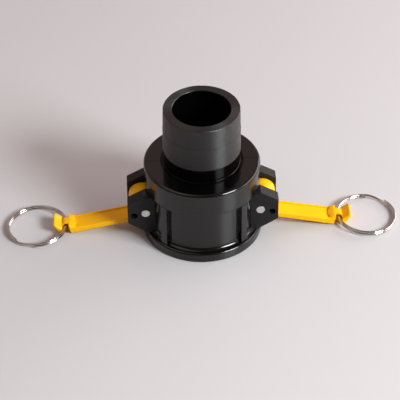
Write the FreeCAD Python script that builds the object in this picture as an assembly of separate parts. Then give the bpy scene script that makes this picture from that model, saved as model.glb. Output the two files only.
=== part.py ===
import FreeCAD, Part
import math
import os

V = FreeCAD.Vector
Y_AXIS = V(0, 1, 0)
Z_AXIS = V(0, 0, 1)
ORIGIN = V(0, 0, 0)

# Coupler body: turned outline, open mouth at z = 0, hose tail upward
flange_r = 41.3
flange_h = 7.3
flange_round = 1.6
wall_r = 36.8
ledge_fillet = 3.2
collar_r = 39.8
collar_z0 = 39.4
collar_z1 = 57.4
collar_round = 2.0
collar_underside_round = 1.2
neck_r = 25.9
neck_top_z = 68.0
neck_fillet = 0.5
tail_base_r = 26.35
tail_step_z = 85.5
tail_step = 0.12
tail_tip_r = 25.95
tail_z1 = 100.6
tail_lead = 0.5
parting_width = 0.3
parting_depth = 0.12

# Coupler body: bore
socket_r = 32.0
socket_depth = 44.5
mouth_chamfer = 1.0
seat_r = 33.8
seat_h = 6.5
throat_r = 25.0
tail_bore_r = 19.6
throat_h = 7.0
tail_bore_chamfer = 0.5

# Upright ribs beside the front and back windows
rib_foot_x = 23.2
rib_x0 = 25.5
rib_x1 = 29.3
rib_sunk = 0.5

# Clevis lugs that carry the cam arms
lug_gap_half = 7.6
lug_outer_y = 16.1
lug_root_x = 30.5
lug_shoulder_x = 39.5
lug_tip_x = 51.7
lug_tip_z0 = 15.9
lug_tip_z1 = 32.4
lug_root_z0 = 8.0
lug_foot_x = 39.4
lug_low_round = 1.2
lug_high_round = 0.8
pad_x0 = 34.8
pad_x1 = 39.2
pad_z0 = 33.6
pad_z1 = 38.4
pad_proud = 0.7
pad_round = 1.0
lug_edge_round = 0.5
clip_hole_r = 2.45
clip_hole_x = 47.4
clip_hole_z = 22.3

# Slots that let the cam heads reach into the socket
slot_z0 = 11.9
slot_z1 = 36.2
slot_x0 = 28.0

# Pivot pins
pin_x = 39.4
pin_z = 24.0
pin_r = 3.175
pin_fit = 0.02
pin_recess = 0.15
pin_chamfer = 0.35

# Cam arm, drawn with the pin at its origin and the bar along +X
arm_half_w = 7.1
arm_droop = 12.5
arm_bore_fit = 0.06
head_r = 9.3
head_offset_x = 2.0
head_offset_z = 0.4
heel_x = 9.0
heel_r = 1.65
bar_bottom = -11.2
bar_root_x = 8.0
bar_root_t = 3.3
bar_end_x = 56.0
bar_end_t = 4.2
arm_edge_round = 0.5
boss_edge_round = 1.5
channel_depth = 0.7
channel_rim = 1.6
channel_x0 = 13.5
channel_x1 = 55.0
channel_end_x = 60.0
channel_end_r = 8.7
ramp_x = 51.2
ramp_r = 1.9
boss_x = 56.1
boss_z = -8.0
boss_r = 3.5
eye_x = 58.5
eye_z = -7.6
eye_r = 2.45
eye_wall = 0.9
eye_web_half = 3.0
notch_inner = 2.2
notch_outer = 2.75
lip_inner_x = 61.2
lip_inner_z = -7.7
lip_inner_r = 1.7
lip_root_x = 62.4
lip_root_z = -9.0
lip_root_r = 1.6
lip_end_x = 65.4
lip_end_z = -2.3
lip_end_r = 1.1

# Finger ring: round wire in two close turns, with a step from one turn to the other
ring_od = 42.0
ring_wire = 1.7
ring_pitch = 1.72
ring_step_angle = 40.0
ring_step_spans = 4
ring_droop = 2.9
ring_seam_turn = 65.0

# Face gasket seated above the socket
gasket_or = 33.6
gasket_ir = 25.4
gasket_h = 6.3
gasket_round = 0.6

# Long enough to pass through any wall that is being cut
THROUGH = 120.0

# How far joined pieces run into one another, and cutting shapes run past a face
OVERLAP = 1.0


def corner_fillet(before, corner, after, radius):
    """Points that replace a corner by an arc: start, middle and end of the arc."""
    to_before = (before - corner).normalize()
    to_after = (after - corner).normalize()
    half = to_before.getAngle(to_after) / 2
    reach = radius / math.tan(half)
    bisector = (to_before + to_after).normalize()
    centre = corner + bisector * (radius / math.sin(half))
    middle = centre - bisector * radius
    return corner + to_before * reach, middle, corner + to_after * reach


def profile_face(points):
    """Face in the XZ plane. Each point is (x, z, corner radius)."""
    corners = [V(x, 0, z) for x, z, _ in points]
    count = len(points)
    arcs = []
    for i, (_, _, radius) in enumerate(points):
        corner = corners[i]
        if radius > 0:
            arcs.append(corner_fillet(corners[i - 1], corner, corners[(i + 1) % count], radius))
        else:
            arcs.append((corner, None, corner))
    edges = []
    for i in range(count):
        start, middle, end = arcs[i]
        if middle is not None:
            edges.append(Part.Arc(start, middle, end).toShape())
        edges.append(Part.makeLine(end, arcs[(i + 1) % count][0]))
    return Part.Face(Part.Wire(edges))


def turned(points):
    """Solid of revolution about Z. Each point is (radius, height, corner radius)."""
    return profile_face(points).revolve(ORIGIN, Z_AXIS, 360)


def slab(points, y0, y1):
    """XZ outline extruded from y0 to y1."""
    face = profile_face(points)
    face.translate(V(0, y0, 0))
    return face.extrude(V(0, y1 - y0, 0))


def rod(radius, x, z, y0, y1):
    """Cylinder along Y."""
    return Part.makeCylinder(radius, y1 - y0, V(x, y0, z), Y_AXIS)


def box(x0, x1, y0, y1, z0, z1):
    return Part.makeBox(x1 - x0, y1 - y0, z1 - z0, V(x0, y0, z0))


def tangent_points(a, b):
    """Ends of the outer tangent on the left side when going from disc a to disc b."""
    ax, az, ar = a
    bx, bz, br = b
    span = math.hypot(bx - ax, bz - az)
    heading = math.atan2(bz - az, bx - ax)
    normal = heading + math.acos((ar - br) / span)
    dx = math.cos(normal)
    dz = math.sin(normal)
    return V(ax + ar * dx, 0, az + ar * dz), V(bx + br * dx, 0, bz + br * dz)


def belt(discs, y0, y1):
    """Belt drawn clockwise around discs (x, z, radius), extruded along Y."""
    count = len(discs)
    spans = [tangent_points(discs[i], discs[(i + 1) % count]) for i in range(count)]
    edges = []
    for i in range(count):
        x, z, radius = discs[i]
        centre = V(x, 0, z)
        arrive = spans[i - 1][1]
        leave = spans[i][0]
        start = math.atan2(arrive.z - z, arrive.x - x)
        end = math.atan2(leave.z - z, leave.x - x)
        sweep = (start - end) % (2 * math.pi)
        half = start - sweep / 2
        middle = centre + V(math.cos(half), 0, math.sin(half)) * radius
        edges.append(Part.Arc(arrive, middle, leave).toShape())
        edges.append(Part.makeLine(*spans[i]))
    face = Part.Face(Part.Wire(edges))
    face.translate(V(0, y0, 0))
    return face.extrude(V(0, y1 - y0, 0))


def rounded_sides(shape, half_width, radius):
    """Rounds the edges that lie in the two planes y = +-half_width."""
    tolerance = radius / 10
    edges = []
    for edge in shape.Edges:
        middle = edge.valueAt((edge.FirstParameter + edge.LastParameter) / 2)
        levels = [abs(vertex.Y) for vertex in edge.Vertexes] + [abs(middle.y)]
        if max(levels) - min(levels) < tolerance and abs(middle.y) > half_width - tolerance:
            edges.append(edge)
    return shape.makeFillet(radius, edges)


def both_sides(shape):
    """The shape and its copy turned half a turn about Z."""
    copy = shape.copy()
    copy.rotate(ORIGIN, Z_AXIS, 180)
    return [shape, copy]


def outer_form():
    """Everything turned on the outside, from the mouth flange to the hose tail."""
    return turned([
        (0, 0, 0),
        (flange_r, 0, flange_round / 2),
        (flange_r, flange_h, flange_round),
        (wall_r, flange_h, ledge_fillet),
        (wall_r, collar_z0, 0),
        (collar_r, collar_z0, collar_underside_round),
        (collar_r, collar_z1, collar_round),
        (neck_r, collar_z1, neck_fillet),
        (neck_r, neck_top_z, 0),
        (tail_base_r, neck_top_z, 0),
        (tail_base_r, tail_step_z, 0),
        (tail_base_r - tail_step, tail_step_z, 0),
        (tail_tip_r, tail_z1, tail_lead),
        (0, tail_z1, 0),
    ])


def inner_form():
    """Socket, gasket seat, throat and hose-tail bore, as one solid to remove."""
    seat_z1 = socket_depth + seat_h
    throat_z1 = seat_z1 + throat_h
    return turned([
        (0, -mouth_chamfer, 0),
        (socket_r + 2 * mouth_chamfer, -mouth_chamfer, 0),
        (socket_r, mouth_chamfer, 0),
        (socket_r, socket_depth, 0),
        (seat_r, socket_depth, 0),
        (seat_r, seat_z1, 0),
        (throat_r, seat_z1, 0),
        (tail_bore_r, throat_z1, 0),
        (tail_bore_r, tail_z1 - tail_bore_chamfer, 0),
        (tail_bore_r + 2 * tail_bore_chamfer, tail_z1 + tail_bore_chamfer, 0),
        (0, tail_z1 + tail_bore_chamfer, 0),
    ])


def ribs():
    """Four upright ribs, flush with the collar, each with a sloped side toward its window."""
    z0 = flange_h - rib_sunk
    height = collar_z0 + rib_sunk - z0
    band = Part.makeCylinder(collar_r, height, V(0, 0, z0))
    foot_y = math.sqrt(wall_r ** 2 - rib_foot_x ** 2)
    crest_y = math.sqrt(collar_r ** 2 - rib_x0 ** 2)
    rise = (crest_y - foot_y) / (rib_x0 - rib_foot_x)
    end_y = crest_y + rise * (rib_x1 - rib_x0)
    corners = [
        V(rib_foot_x, -foot_y, z0),
        V(rib_x1, -end_y, z0),
        V(rib_x1, end_y, z0),
        V(rib_foot_x, foot_y, z0),
    ]
    wedge = Part.Face(Part.makePolygon(corners + corners[:1])).extrude(V(0, 0, height))
    return both_sides(band.common(wedge))


def lug_block():
    """Outline of the +X lug over its full width, with its outer edges rounded."""
    block = slab([
        (lug_root_x, flange_h - OVERLAP, 0),
        (lug_foot_x - OVERLAP, flange_h - OVERLAP, 0),
        (lug_foot_x, lug_root_z0, 0),
        (lug_tip_x, lug_tip_z0, lug_low_round),
        (lug_tip_x, lug_tip_z1, lug_high_round),
        (lug_shoulder_x, collar_z0, lug_high_round),
        (lug_root_x, collar_z0, 0),
    ], -lug_outer_y, lug_outer_y)
    return rounded_sides(block, lug_outer_y, lug_edge_round)


def lug_pair():
    """Two plates with their raised pads on the +X side."""
    gap = box(0, lug_tip_x + OVERLAP, -lug_gap_half, lug_gap_half, 0, collar_z1)
    pieces = [lug_block().cut(gap)]
    for side in (-1, 1):
        y0, y1 = sorted((side * (lug_outer_y - OVERLAP), side * (lug_outer_y + pad_proud)))
        pieces.append(slab([
            (pad_x0, pad_z0, pad_round),
            (pad_x1, pad_z0, pad_round),
            (pad_x1, pad_z1, pad_round),
            (pad_x0, pad_z1, pad_round),
        ], y0, y1))
    return pieces


def coupler_body():
    body = outer_form()
    additions = ribs()
    for piece in lug_pair():
        additions += both_sides(piece)
    body = body.fuse(additions)
    slot = slab([
        (slot_x0, slot_z0, 0),
        (collar_r + OVERLAP, slot_z0, 0),
        (collar_r + OVERLAP, slot_z1, 0),
        (slot_x0, slot_z1, 0),
    ], -lug_gap_half, lug_gap_half)
    pin_hole = rod(pin_r + pin_fit, pin_x, pin_z, -THROUGH / 2, THROUGH / 2)
    clip_hole = rod(clip_hole_r, clip_hole_x, clip_hole_z, -THROUGH / 2, THROUGH / 2)
    half = parting_width / 2
    parting = box(neck_r + neck_fillet, flange_r, -half, half, collar_z1 - parting_depth, neck_top_z)
    removals = [inner_form()]
    for piece in (slot, pin_hole, clip_hole, parting):
        removals += both_sides(piece)
    return body.cut(removals).removeSplitter()


def pivot_pin():
    """Plain pin with chamfered ends, just below flush in the lugs."""
    half = lug_outer_y - pin_recess
    pin = rod(pin_r, pin_x, pin_z, -half, half)
    rims = [edge for edge in pin.Edges if isinstance(edge.Curve, Part.Circle)]
    return pin.makeChamfer(pin_chamfer, rims)


def eye_notches():
    """V-shaped notches either side of the web that holds the ring eye."""
    z0 = bar_bottom - OVERLAP
    height = lip_end_z + lip_end_r + OVERLAP - z0
    pieces = []
    for side in (-1, 1):
        inner_y = side * eye_web_half
        outer_y = side * (arm_half_w + OVERLAP)
        corners = [
            V(eye_x - notch_inner, inner_y, z0),
            V(eye_x + notch_inner, inner_y, z0),
            V(eye_x + notch_outer, outer_y, z0),
            V(eye_x - notch_outer, outer_y, z0),
        ]
        face = Part.Face(Part.makePolygon(corners + corners[:1]))
        pieces.append(face.extrude(V(0, 0, height)))
    return pieces


def bar_channel(root_top, end_top):
    """Shallow channel along the top of the bar, its end curving around the boss."""
    w = arm_half_w - channel_rim
    channel = slab([
        (channel_x0, root_top - channel_depth, 0),
        (channel_x1, end_top - channel_depth, 0),
        (channel_x1, end_top + OVERLAP, 0),
        (channel_x0, root_top + OVERLAP, 0),
    ], -w, w)
    boss = Part.makeCylinder(channel_end_r, 2 * head_r, V(channel_end_x, 0, bar_bottom))
    return channel.cut(boss)


def cam_arm():
    """Cam head, tapered bar with a shallow channel, ring eye and turned-up finger lip."""
    w = arm_half_w
    head = belt([
        (head_offset_x, head_offset_z, head_r),
        (heel_x, bar_bottom + heel_r, heel_r),
    ], -w, w)
    root_top = bar_bottom + bar_root_t
    end_top = bar_bottom + bar_end_t
    bar = slab([
        (bar_root_x, bar_bottom, 0),
        (bar_end_x, bar_bottom, 0),
        (bar_end_x, end_top, 0),
        (bar_root_x, root_top, 0),
    ], -w, w)
    eye = belt([
        (ramp_x, bar_bottom + ramp_r, ramp_r),
        (boss_x, boss_z, boss_r),
        (eye_x, eye_z, eye_r + eye_wall),
        (lip_root_x, lip_root_z, lip_root_r),
    ], -w, w)
    lip = belt([
        (lip_root_x, lip_root_z, lip_root_r),
        (lip_inner_x, lip_inner_z, lip_inner_r),
        (lip_end_x, lip_end_z, lip_end_r),
    ], -w, w)
    handle = rounded_sides(head.fuse(bar).removeSplitter(), w, arm_edge_round)
    tip = rounded_sides(eye.fuse(lip).removeSplitter(), w, boss_edge_round)
    arm = handle.fuse(tip).removeSplitter()
    arm = arm.cut([bar_channel(root_top, end_top)] + eye_notches())
    eye_hole = rod(eye_r, eye_x, eye_z, -w - OVERLAP, w + OVERLAP)
    pivot_hole = rod(pin_r + arm_bore_fit, 0, 0, -w - OVERLAP, w + OVERLAP)
    return arm.cut([eye_hole, pivot_hole])


def finger_ring():
    """Split ring of two stacked turns joined by a step, its wire passing the origin."""
    path_r = (ring_od - ring_wire) / 2
    half_step = math.radians(ring_step_angle / 2)
    low = -ring_pitch / 2
    high = ring_pitch / 2

    def on_ring(angle, z):
        return V(path_r * math.cos(angle), path_r * math.sin(angle), z)

    def heading(angle):
        return V(-math.sin(angle), math.cos(angle), 0)

    def turn(z):
        ends = (half_step, math.pi, 2 * math.pi - half_step)
        return Part.Arc(*[on_ring(angle, z) for angle in ends]).toShape()

    step_points = []
    for i in range(ring_step_spans + 1):
        u = i / ring_step_spans
        rise = u * u * (3 - 2 * u)
        step_points.append(on_ring(half_step * (2 * u - 1), low + (high - low) * rise))
    step = Part.BSplineCurve()
    step.interpolate(
        Points=step_points,
        InitialTangent=heading(-half_step),
        FinalTangent=heading(half_step),
    )
    path = Part.Wire([turn(low), step.toShape(), turn(high)])
    start = on_ring(half_step, low)
    section = Part.Wire(Part.makeCircle(ring_wire / 2, start, heading(half_step)))
    ring = path.makePipeShell([section], True, False)
    ring.rotate(ORIGIN, Z_AXIS, ring_seam_turn)
    ring.translate(V(path_r, 0, 0))
    return ring


def gasket():
    z0 = socket_depth + (seat_h - gasket_h) / 2
    return turned([
        (gasket_ir, z0, gasket_round),
        (gasket_or, z0, gasket_round),
        (gasket_or, z0 + gasket_h, gasket_round),
        (gasket_ir, z0 + gasket_h, gasket_round),
    ])


def placed_arm():
    """Arm on the +X pin, hanging below level."""
    arm = cam_arm()
    arm.rotate(ORIGIN, Y_AXIS, arm_droop)
    arm.translate(V(pin_x, 0, pin_z))
    return arm


def placed_ring():
    """Ring in the eye of the +X arm, its far side resting low."""
    droop = math.radians(arm_droop)
    eye = V(
        pin_x + eye_x * math.cos(droop) + eye_z * math.sin(droop),
        0,
        pin_z - eye_x * math.sin(droop) + eye_z * math.cos(droop),
    )
    ring = finger_ring()
    ring.rotate(ORIGIN, Y_AXIS, ring_droop)
    ring.translate(eye)
    return ring


os.makedirs("parts", exist_ok=True)

coupler_body().exportStep("parts/coupler_body.step")
gasket().exportStep("parts/gasket.step")

pairs = (
    ("pivot_pin", pivot_pin()),
    ("cam_arm", placed_arm()),
    ("finger_ring", placed_ring()),
)
for name, solid in pairs:
    for side, shape in zip(("right", "left"), both_sides(solid)):
        shape.exportStep("parts/{}_{}.step".format(name, side))
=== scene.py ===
import math

import bpy
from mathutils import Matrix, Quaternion, Vector

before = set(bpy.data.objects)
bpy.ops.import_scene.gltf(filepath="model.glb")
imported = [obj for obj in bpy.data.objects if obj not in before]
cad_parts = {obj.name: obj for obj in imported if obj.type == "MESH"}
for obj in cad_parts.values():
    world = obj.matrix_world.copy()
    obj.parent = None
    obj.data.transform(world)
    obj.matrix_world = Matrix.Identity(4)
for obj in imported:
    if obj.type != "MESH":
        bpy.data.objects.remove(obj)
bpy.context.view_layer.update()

MM = 0.001

# Where the coupler body's surface changes: heights, distances from the axis, and |x| of the lugs
FLANGE_TOP = 7.4 * MM
COLLAR_UNDERSIDE = 39.4 * MM
TAIL_TURNED_FROM = 68.0 * MM
TAIL_BORE_EDGE = 19.9 * MM
NECK_OUTSIDE = 28.5 * MM
LUG_FROM = 33.0 * MM
ZONE_EDGE = 0.1 * MM

# Values between which most of a noise texture lies
NOISE_LOW = 0.3
NOISE_HIGH = 0.7

# Camera: direction from which it looks, in degrees, then its lens and place
CAMERA_AZIMUTH = -2.364
CAMERA_ELEVATION = 39.836
CAMERA_ROLL = -0.469
CAMERA_DISTANCE = 1.260
CAMERA_TARGET = Vector((-1.5, 0.0, 21.3)) * MM
CAMERA_LENS = 163.8

# Studio: the floor's side, the height that the lights aim at, and where the walls' light changes along Y
FLOOR_SIDE = 12.0
LIGHT_TARGET = Vector((0, 0, 40.0)) * MM
WALLS_FRONT_Y = -0.4
WALLS_BACK_Y = 0.5


# ---------------------------------------------------------------- node helpers

def new_material(name):
    material = bpy.data.materials.new(name)
    material.use_nodes = True
    tree = material.node_tree
    return material, tree, tree.nodes["Principled BSDF"]


def add(tree, kind, **values):
    """A node with its properties and input values set by name."""
    node = tree.nodes.new(kind)
    for key, value in values.items():
        if hasattr(node, key):
            setattr(node, key, value)
        else:
            node.inputs[key.replace("_", " ")].default_value = value
    return node


def noise(tree, scale, detail=3.0):
    """Noise in the object's own coordinates, in metres."""
    place = tree.nodes.new("ShaderNodeTexCoord")
    texture = add(tree, "ShaderNodeTexNoise", Scale=scale, Detail=detail)
    tree.links.new(place.outputs["Object"], texture.inputs["Vector"])
    return texture.outputs["Fac"]


def spread(tree, source, low, high, start=NOISE_LOW, end=NOISE_HIGH):
    """Maps a factor to numbers from low to high."""
    remap = add(tree, "ShaderNodeMapRange")
    remap.inputs["From Min"].default_value = start
    remap.inputs["From Max"].default_value = end
    remap.inputs["To Min"].default_value = low
    remap.inputs["To Max"].default_value = high
    tree.links.new(source, remap.inputs["Value"])
    return remap.outputs["Result"]


def tint(tree, source, dark, light):
    """Maps a noise to a colour between dark and light."""
    ramp = tree.nodes.new("ShaderNodeValToRGB")
    first, last = ramp.color_ramp.elements
    first.position = NOISE_LOW
    last.position = NOISE_HIGH
    first.color = (*dark, 1)
    last.color = (*light, 1)
    tree.links.new(source, ramp.inputs["Fac"])
    return ramp.outputs["Color"]


def bump(tree, shader, source, strength, distance):
    """Gives the shader a fine relief, with its height in metres."""
    node = add(tree, "ShaderNodeBump", Strength=strength, Distance=distance)
    tree.links.new(source, node.inputs["Height"])
    tree.links.new(node.outputs["Normal"], shader.inputs["Normal"])


def mix_number(tree, factor, a, b):
    node = add(tree, "ShaderNodeMix", data_type="FLOAT")
    tree.links.new(factor, node.inputs[0])
    tree.links.new(a, node.inputs[2])
    tree.links.new(b, node.inputs[3])
    return node.outputs[0]


def mix_colour(tree, factor, a, b):
    node = add(tree, "ShaderNodeMix", data_type="RGBA")
    tree.links.new(factor, node.inputs[0])
    tree.links.new(a, node.inputs[6])
    tree.links.new(b, node.inputs[7])
    return node.outputs[2]


def above(tree, source, level):
    """1 where the source is above the level, otherwise 0."""
    return spread(tree, source, 0.0, 1.0, level - ZONE_EDGE, level + ZONE_EDGE)


def below(tree, source, level):
    """1 where the source is below the level, otherwise 0."""
    return spread(tree, source, 1.0, 0.0, level - 2 * ZONE_EDGE, level)


def product(tree, a, b):
    node = add(tree, "ShaderNodeMath", operation="MULTIPLY")
    tree.links.new(a, node.inputs[0])
    tree.links.new(b, node.inputs[1])
    return node.outputs[0]


def absolute(tree, source):
    node = add(tree, "ShaderNodeMath", operation="ABSOLUTE")
    tree.links.new(source, node.inputs[0])
    return node.outputs[0]


def number(tree, value):
    node = tree.nodes.new("ShaderNodeValue")
    node.outputs[0].default_value = value
    return node.outputs[0]


# ------------------------------------------------------------------- materials

def body_plastic():
    """Black polypropylene: glossy as moulded, duller on the lugs and neck, satin on the turned tail."""
    material, tree, shader = new_material("body_plastic")
    grain = noise(tree, 420.0)
    mottle = noise(tree, 60.0)

    place = tree.nodes.new("ShaderNodeTexCoord")
    split = tree.nodes.new("ShaderNodeSeparateXYZ")
    tree.links.new(place.outputs["Object"], split.inputs["Vector"])
    height = split.outputs["Z"]
    across = tree.nodes.new("ShaderNodeCombineXYZ")
    tree.links.new(split.outputs["X"], across.inputs["X"])
    tree.links.new(split.outputs["Y"], across.inputs["Y"])
    length = add(tree, "ShaderNodeVectorMath", operation="LENGTH")
    tree.links.new(across.outputs["Vector"], length.inputs[0])
    radius = length.outputs["Value"]

    turned = product(tree, above(tree, height, TAIL_TURNED_FROM), above(tree, radius, TAIL_BORE_EDGE))
    core = below(tree, radius, NECK_OUTSIDE)
    outward = above(tree, absolute(tree, split.outputs["X"]), LUG_FROM)
    wall_height = product(tree, above(tree, height, FLANGE_TOP), below(tree, height, COLLAR_UNDERSIDE))
    lugs = product(tree, outward, wall_height)

    wall = tint(tree, mottle, (0.0008, 0.0006, 0.0007), (0.0018, 0.0014, 0.0016))
    lug = tint(tree, mottle, (0.0130, 0.0120, 0.0125), (0.0180, 0.0165, 0.0170))
    satin = tint(tree, mottle, (0.0020, 0.0016, 0.0017), (0.0035, 0.0028, 0.0030))
    colour = mix_colour(tree, lugs, wall, lug)
    colour = mix_colour(tree, turned, colour, satin)
    tree.links.new(colour, shader.inputs["Base Color"])

    rough = mix_number(tree, lugs, spread(tree, grain, 0.12, 0.17), spread(tree, grain, 0.38, 0.46))
    rough = mix_number(tree, turned, rough, spread(tree, grain, 0.40, 0.48))
    tree.links.new(rough, shader.inputs["Roughness"])

    shine = mix_number(tree, lugs, number(tree, 0.50), number(tree, 0.15))
    shine = mix_number(tree, core, shine, number(tree, 0.12))
    shine = mix_number(tree, turned, shine, number(tree, 0.75))
    tree.links.new(shine, shader.inputs["Specular IOR Level"])

    feed = add(tree, "ShaderNodeTexWave", wave_type="BANDS", bands_direction="Z", Scale=900.0, Distortion=0.6)
    tree.links.new(place.outputs["Object"], feed.inputs["Vector"])
    waviness = noise(tree, 90.0, 2.0)
    bump(tree, shader, mix_number(tree, turned, waviness, feed.outputs["Fac"]), 0.08, 0.05 * MM)
    groove = add(tree, "ShaderNodeTangent", direction_type="RADIAL", axis="Z")
    tree.links.new(groove.outputs["Tangent"], shader.inputs["Tangent"])
    tree.links.new(spread(tree, turned, 0.0, 0.85, 0.0, 1.0), shader.inputs["Anisotropic"])
    shader.inputs["Anisotropic Rotation"].default_value = 0.25
    return material


def arm_plastic():
    """Yellow nylon, slightly translucent."""
    material, tree, shader = new_material("arm_plastic")
    mottle = noise(tree, 70.0)
    grain = noise(tree, 600.0)
    colour = tint(tree, mottle, (0.96, 0.46, 0.001), (0.99, 0.52, 0.002))
    tree.links.new(colour, shader.inputs["Base Color"])
    tree.links.new(spread(tree, grain, 0.28, 0.38), shader.inputs["Roughness"])
    bump(tree, shader, grain, 0.08, 0.05 * MM)
    shader.inputs["Specular IOR Level"].default_value = 0.20
    shader.inputs["Subsurface Weight"].default_value = 0.25
    shader.inputs["Subsurface Radius"].default_value = (1.0, 0.35, 0.05)
    shader.inputs["Subsurface Scale"].default_value = 2.0 * MM
    return material


def pin_steel():
    """Plain steel with faint turning marks."""
    material, tree, shader = new_material("pin_steel")
    grain = noise(tree, 900.0)
    tree.links.new(tint(tree, grain, (0.62, 0.60, 0.59), (0.78, 0.76, 0.75)), shader.inputs["Base Color"])
    tree.links.new(spread(tree, grain, 0.28, 0.42), shader.inputs["Roughness"])
    bump(tree, shader, grain, 0.1, 0.03 * MM)
    shader.inputs["Metallic"].default_value = 1.0
    return material


def ring_wire():
    """Bright nickel plate."""
    material, tree, shader = new_material("ring_wire")
    grain = noise(tree, 500.0)
    tree.links.new(tint(tree, grain, (0.52, 0.49, 0.46), (0.64, 0.61, 0.57)), shader.inputs["Base Color"])
    tree.links.new(spread(tree, grain, 0.10, 0.18), shader.inputs["Roughness"])
    shader.inputs["Metallic"].default_value = 1.0
    return material


def gasket_rubber():
    """Matt black rubber."""
    material, tree, shader = new_material("gasket_rubber")
    grain = noise(tree, 700.0)
    colour = tint(tree, grain, (0.012, 0.012, 0.012), (0.024, 0.023, 0.023))
    tree.links.new(colour, shader.inputs["Base Color"])
    tree.links.new(spread(tree, grain, 0.55, 0.7), shader.inputs["Roughness"])
    bump(tree, shader, grain, 0.15, 0.05 * MM)
    return material


def floor_paper():
    """Pale, faintly pink paper."""
    material, tree, shader = new_material("floor_paper")
    mottle = noise(tree, 3.0)
    colour = tint(tree, mottle, (0.565, 0.548, 0.560), (0.585, 0.568, 0.580))
    tree.links.new(colour, shader.inputs["Base Color"])
    tree.links.new(spread(tree, mottle, 0.30, 0.34), shader.inputs["Roughness"])
    return material


# ------------------------------------------------------------------ floor and light

def floor():
    mesh = bpy.data.meshes.new("floor")
    half = FLOOR_SIDE / 2
    corners = [(-half, -half, 0), (half, -half, 0), (half, half, 0), (-half, half, 0)]
    mesh.from_pydata(corners, [], [(0, 1, 2, 3)])
    plane = bpy.data.objects.new("floor", mesh)
    bpy.context.scene.collection.objects.link(plane)
    mesh.materials.append(floor_paper())


def softbox(name, azimuth, elevation, distance, width, height, power, colour):
    """Area light aimed at the coupler. Azimuth 0 stands on the -Y side and 90 on the +X side."""
    light = bpy.data.lights.new(name, "AREA")
    light.shape = "RECTANGLE"
    light.size = width
    light.size_y = height
    light.energy = power
    light.color = colour
    lamp = bpy.data.objects.new(name, light)
    bpy.context.scene.collection.objects.link(lamp)
    a = math.radians(azimuth)
    e = math.radians(elevation)
    out = Vector((math.sin(a) * math.cos(e), -math.cos(a) * math.cos(e), math.sin(e)))
    lamp.location = LIGHT_TARGET + out * distance
    lamp.rotation_mode = "QUATERNION"
    lamp.rotation_quaternion = out.to_track_quat("Z", "Y")


def surroundings(front, back):
    """Warm studio walls, dim behind the camera and brighter behind the coupler."""
    world = bpy.data.worlds.new("surroundings")
    world.use_nodes = True
    tree = world.node_tree
    background = tree.nodes["Background"]
    background.inputs["Color"].default_value = (1.0, 0.76, 0.72, 1)
    place = tree.nodes.new("ShaderNodeTexCoord")
    split = tree.nodes.new("ShaderNodeSeparateXYZ")
    tree.links.new(place.outputs["Generated"], split.inputs["Vector"])
    strength = spread(tree, split.outputs["Y"], front, back, WALLS_FRONT_Y, WALLS_BACK_Y)
    tree.links.new(strength, background.inputs["Strength"])
    bpy.context.scene.world = world


def camera():
    data = bpy.data.cameras.new("camera")
    data.sensor_width = 36.0
    data.lens = CAMERA_LENS
    data.clip_start = 0.05
    data.clip_end = 50.0
    eye = bpy.data.objects.new("camera", data)
    bpy.context.scene.collection.objects.link(eye)
    azimuth = math.radians(CAMERA_AZIMUTH)
    elevation = math.radians(CAMERA_ELEVATION)
    roll = math.radians(CAMERA_ROLL)
    back = Vector((
        math.sin(azimuth) * math.cos(elevation),
        -math.cos(azimuth) * math.cos(elevation),
        math.sin(elevation),
    ))
    eye.location = CAMERA_TARGET + back * CAMERA_DISTANCE
    eye.rotation_mode = "QUATERNION"
    eye.rotation_quaternion = (-back).to_track_quat("-Z", "Y") @ Quaternion((0, 0, 1), roll)
    bpy.context.scene.camera = eye


# ------------------------------------------------------------------------ finishing

FINISHES = {
    "coupler_body": body_plastic(),
    "gasket": gasket_rubber(),
    "pivot_pin": pin_steel(),
    "cam_arm": arm_plastic(),
    "finger_ring": ring_wire(),
}


def dress_nodes():
    for name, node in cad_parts.items():
        kind = name.removesuffix("_left").removesuffix("_right")
        node.data.materials.clear()
        node.data.materials.append(FINISHES[kind])


dress_nodes()
floor()
camera()
surroundings(front=0.12, back=0.46)
softbox(
    "key", azimuth=52, elevation=33, distance=1.8,
    width=0.66, height=0.50, power=43.0, colour=(0.93, 0.985, 1.0),
)
softbox(
    "side", azimuth=108, elevation=22, distance=1.3,
    width=1.70, height=0.55, power=13.0, colour=(1.0, 0.93, 0.89),
)
softbox(
    "fill", azimuth=-75, elevation=62, distance=1.8,
    width=1.40, height=1.40, power=4.5, colour=(1.0, 0.95, 0.93),
)
bpy.context.scene.view_settings.view_transform = "Standard"
